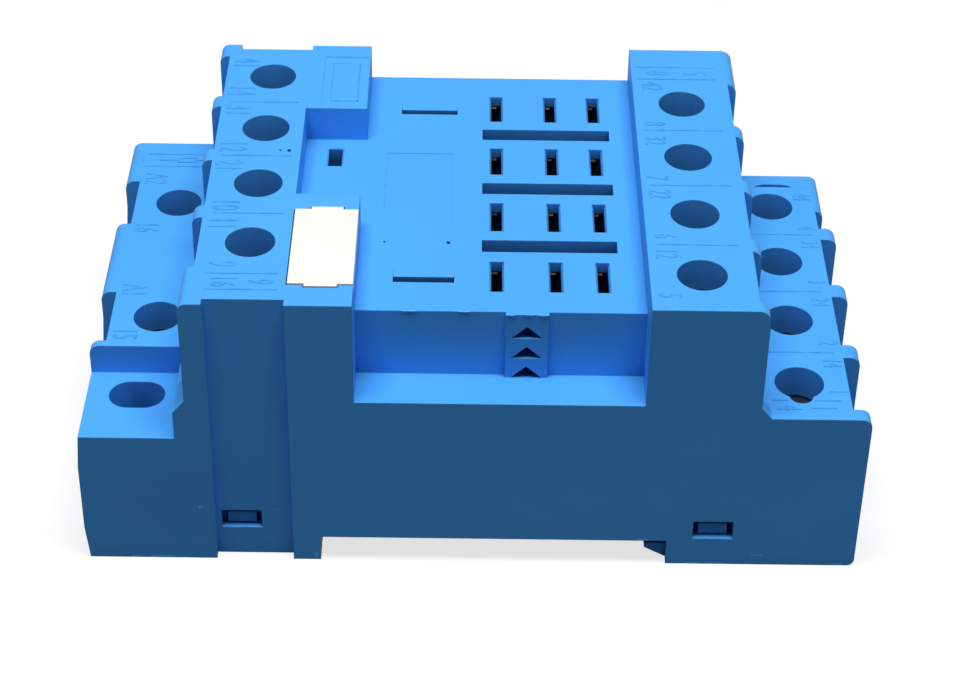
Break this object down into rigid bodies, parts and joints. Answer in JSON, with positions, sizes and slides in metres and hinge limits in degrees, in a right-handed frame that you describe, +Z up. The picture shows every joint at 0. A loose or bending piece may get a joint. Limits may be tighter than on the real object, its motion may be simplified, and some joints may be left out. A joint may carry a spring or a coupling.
{
  "type": "relay socket",
  "caption": "Plug-in relay socket for rail or panel, with two levels of screw terminals on each side, a slotted plateau for the relay and a spring rail clip.",
  "frame": {"origin": "centre of the rail seat: middle of the 35.3 mm notch, half way along the rail, on the face that lies on the rail", "axes": "+X across the rail towards the spring clip, +Y along the rail, +Z up from the rail towards the relay"},
  "size_m": [0.0786, 0.0472, 0.0329],
  "materials": {
    "housing": "moulded polyamide, fine satin",
    "cover": "moulded polyamide, fine satin",
    "clip": "moulded acetal, satin",
    "tag": "moulded, satin white",
    "contact": "stamped strip",
    "screw": "bright zinc plate",
    "clamp": "bright zinc plate"
  },
  "bodies": {
    "socket": {"housing": "housing", "base_cover": "cover", "contact_a_1": "contact", "contact_a_2": "contact", "contact_a_3": "contact", "contact_a_4": "contact", "contact_b_1": "contact", "contact_b_2": "contact", "contact_b_3": "contact", "contact_b_4": "contact", "contact_c_1": "contact", "contact_c_2": "contact", "contact_c_3": "contact", "contact_c_4": "contact", "coil_contact_1": "contact", "coil_contact_2": "contact"},
    "rail_clip": {"rail_clip": "clip"},
    "marker_tag": {"marker_tag": "tag"},
    "screw_ul_1": {"screw_ul_1": "screw"},
    "clamp_ul_1": {"clamp_ul_1": "clamp"},
    "screw_ul_2": {"screw_ul_2": "screw"},
    "clamp_ul_2": {"clamp_ul_2": "clamp"},
    "screw_ul_3": {"screw_ul_3": "screw"},
    "clamp_ul_3": {"clamp_ul_3": "clamp"},
    "screw_ul_4": {"screw_ul_4": "screw"},
    "clamp_ul_4": {"clamp_ul_4": "clamp"},
    "screw_ur_1": {"screw_ur_1": "screw"},
    "clamp_ur_1": {"clamp_ur_1": "clamp"},
    "screw_ur_2": {"screw_ur_2": "screw"},
    "clamp_ur_2": {"clamp_ur_2": "clamp"},
    "screw_ur_3": {"screw_ur_3": "screw"},
    "clamp_ur_3": {"clamp_ur_3": "clamp"},
    "screw_ur_4": {"screw_ur_4": "screw"},
    "clamp_ur_4": {"clamp_ur_4": "clamp"},
    "screw_lr_1": {"screw_lr_1": "screw"},
    "clamp_lr_1": {"clamp_lr_1": "clamp"},
    "screw_lr_2": {"screw_lr_2": "screw"},
    "clamp_lr_2": {"clamp_lr_2": "clamp"},
    "screw_lr_3": {"screw_lr_3": "screw"},
    "clamp_lr_3": {"clamp_lr_3": "clamp"},
    "screw_lr_4": {"screw_lr_4": "screw"},
    "clamp_lr_4": {"clamp_lr_4": "clamp"},
    "screw_ll_1": {"screw_ll_1": "screw"},
    "clamp_ll_1": {"clamp_ll_1": "clamp"},
    "screw_ll_2": {"screw_ll_2": "screw"},
    "clamp_ll_2": {"clamp_ll_2": "clamp"}
  },
  "joints": [
    {"name": "rail_clip_slide", "type": "slide", "parent": "socket", "child": "rail_clip", "axis": [1, 0, 0], "range_m": [0, 0.0024], "stiffness_N_per_m": 1500, "springref_m": -0.001},
    {"name": "marker_tag_lift", "type": "slide", "parent": "socket", "child": "marker_tag", "axis": [0, 0, 1], "range_m": [0, 0.006]},
    {"name": "screw_ul_1_turn", "type": "hinge", "parent": "socket", "child": "screw_ul_1", "pos_m": [-0.02439, -0.01342, 0.0257], "axis": [0, 0, -1], "range_deg": [0, 1440]},
    {"name": "clamp_ul_1_rise", "type": "slide", "parent": "socket", "child": "clamp_ul_1", "axis": [0, 0, 1], "range_m": [0, 0.0024]},
    {"name": "screw_ul_2_turn", "type": "hinge", "parent": "socket", "child": "screw_ul_2", "pos_m": [-0.02439, -0.00326, 0.0257], "axis": [0, 0, -1], "range_deg": [0, 1440]},
    {"name": "clamp_ul_2_rise", "type": "slide", "parent": "socket", "child": "clamp_ul_2", "axis": [0, 0, 1], "range_m": [0, 0.0024]},
    {"name": "screw_ul_3_turn", "type": "hinge", "parent": "socket", "child": "screw_ul_3", "pos_m": [-0.02439, 0.0069, 0.0257], "axis": [0, 0, -1], "range_deg": [0, 1440]},
    {"name": "clamp_ul_3_rise", "type": "slide", "parent": "socket", "child": "clamp_ul_3", "axis": [0, 0, 1], "range_m": [0, 0.0024]},
    {"name": "screw_ul_4_turn", "type": "hinge", "parent": "socket", "child": "screw_ul_4", "pos_m": [-0.02439, 0.01706, 0.0257], "axis": [0, 0, -1], "range_deg": [0, 1440]},
    {"name": "clamp_ul_4_rise", "type": "slide", "parent": "socket", "child": "clamp_ul_4", "axis": [0, 0, 1], "range_m": [0, 0.0024]},
    {"name": "screw_ur_1_turn", "type": "hinge", "parent": "socket", "child": "screw_ur_1", "pos_m": [0.01972, -0.0179, 0.0257], "axis": [0, 0, -1], "range_deg": [0, 1440]},
    {"name": "clamp_ur_1_rise", "type": "slide", "parent": "socket", "child": "clamp_ur_1", "axis": [0, 0, 1], "range_m": [0, 0.0024]},
    {"name": "screw_ur_2_turn", "type": "hinge", "parent": "socket", "child": "screw_ur_2", "pos_m": [0.01972, -0.00774, 0.0257], "axis": [0, 0, -1], "range_deg": [0, 1440]},
    {"name": "clamp_ur_2_rise", "type": "slide", "parent": "socket", "child": "clamp_ur_2", "axis": [0, 0, 1], "range_m": [0, 0.0024]},
    {"name": "screw_ur_3_turn", "type": "hinge", "parent": "socket", "child": "screw_ur_3", "pos_m": [0.01972, 0.00242, 0.0257], "axis": [0, 0, -1], "range_deg": [0, 1440]},
    {"name": "clamp_ur_3_rise", "type": "slide", "parent": "socket", "child": "clamp_ur_3", "axis": [0, 0, 1], "range_m": [0, 0.0024]},
    {"name": "screw_ur_4_turn", "type": "hinge", "parent": "socket", "child": "screw_ur_4", "pos_m": [0.01972, 0.01258, 0.0257], "axis": [0, 0, -1], "range_deg": [0, 1440]},
    {"name": "clamp_ur_4_rise", "type": "slide", "parent": "socket", "child": "clamp_ur_4", "axis": [0, 0, 1], "range_m": [0, 0.0024]},
    {"name": "screw_lr_1_turn", "type": "hinge", "parent": "socket", "child": "screw_lr_1", "pos_m": [0.0303, -0.0179, 0.0124], "axis": [0, 0, -1], "range_deg": [0, 1440]},
    {"name": "clamp_lr_1_rise", "type": "slide", "parent": "socket", "child": "clamp_lr_1", "axis": [0, 0, 1], "range_m": [0, 0.0024]},
    {"name": "screw_lr_2_turn", "type": "hinge", "parent": "socket", "child": "screw_lr_2", "pos_m": [0.0303, -0.00774, 0.0124], "axis": [0, 0, -1], "range_deg": [0, 1440]},
    {"name": "clamp_lr_2_rise", "type": "slide", "parent": "socket", "child": "clamp_lr_2", "axis": [0, 0, 1], "range_m": [0, 0.0024]},
    {"name": "screw_lr_3_turn", "type": "hinge", "parent": "socket", "child": "screw_lr_3", "pos_m": [0.0303, 0.00242, 0.0124], "axis": [0, 0, -1], "range_deg": [0, 1440]},
    {"name": "clamp_lr_3_rise", "type": "slide", "parent": "socket", "child": "clamp_lr_3", "axis": [0, 0, 1], "range_m": [0, 0.0024]},
    {"name": "screw_lr_4_turn", "type": "hinge", "parent": "socket", "child": "screw_lr_4", "pos_m": [0.0303, 0.01258, 0.0124], "axis": [0, 0, -1], "range_deg": [0, 1440]},
    {"name": "clamp_lr_4_rise", "type": "slide", "parent": "socket", "child": "clamp_lr_4", "axis": [0, 0, 1], "range_m": [0, 0.0024]},
    {"name": "screw_ll_1_turn", "type": "hinge", "parent": "socket", "child": "screw_ll_1", "pos_m": [-0.03487, -0.00845, 0.0124], "axis": [0, 0, -1], "range_deg": [0, 1440]},
    {"name": "clamp_ll_1_rise", "type": "slide", "parent": "socket", "child": "clamp_ll_1", "axis": [0, 0, 1], "range_m": [0, 0.0024]},
    {"name": "screw_ll_2_turn", "type": "hinge", "parent": "socket", "child": "screw_ll_2", "pos_m": [-0.03487, 0.01187, 0.0124], "axis": [0, 0, -1], "range_deg": [0, 1440]},
    {"name": "clamp_ll_2_rise", "type": "slide", "parent": "socket", "child": "clamp_ll_2", "axis": [0, 0, 1], "range_m": [0, 0.0024]}
  ],
  "couplings": [
    {"joint": "screw_ul_1_turn", "follows": "clamp_ul_1_rise", "rad_per_m": 10472},
    {"joint": "screw_ul_2_turn", "follows": "clamp_ul_2_rise", "rad_per_m": 10472},
    {"joint": "screw_ul_3_turn", "follows": "clamp_ul_3_rise", "rad_per_m": 10472},
    {"joint": "screw_ul_4_turn", "follows": "clamp_ul_4_rise", "rad_per_m": 10472},
    {"joint": "screw_ur_1_turn", "follows": "clamp_ur_1_rise", "rad_per_m": 10472},
    {"joint": "screw_ur_2_turn", "follows": "clamp_ur_2_rise", "rad_per_m": 10472},
    {"joint": "screw_ur_3_turn", "follows": "clamp_ur_3_rise", "rad_per_m": 10472},
    {"joint": "screw_ur_4_turn", "follows": "clamp_ur_4_rise", "rad_per_m": 10472},
    {"joint": "screw_lr_1_turn", "follows": "clamp_lr_1_rise", "rad_per_m": 10472},
    {"joint": "screw_lr_2_turn", "follows": "clamp_lr_2_rise", "rad_per_m": 10472},
    {"joint": "screw_lr_3_turn", "follows": "clamp_lr_3_rise", "rad_per_m": 10472},
    {"joint": "screw_lr_4_turn", "follows": "clamp_lr_4_rise", "rad_per_m": 10472},
    {"joint": "screw_ll_1_turn", "follows": "clamp_ll_1_rise", "rad_per_m": 10472},
    {"joint": "screw_ll_2_turn", "follows": "clamp_ll_2_rise", "rad_per_m": 10472}
  ]
}
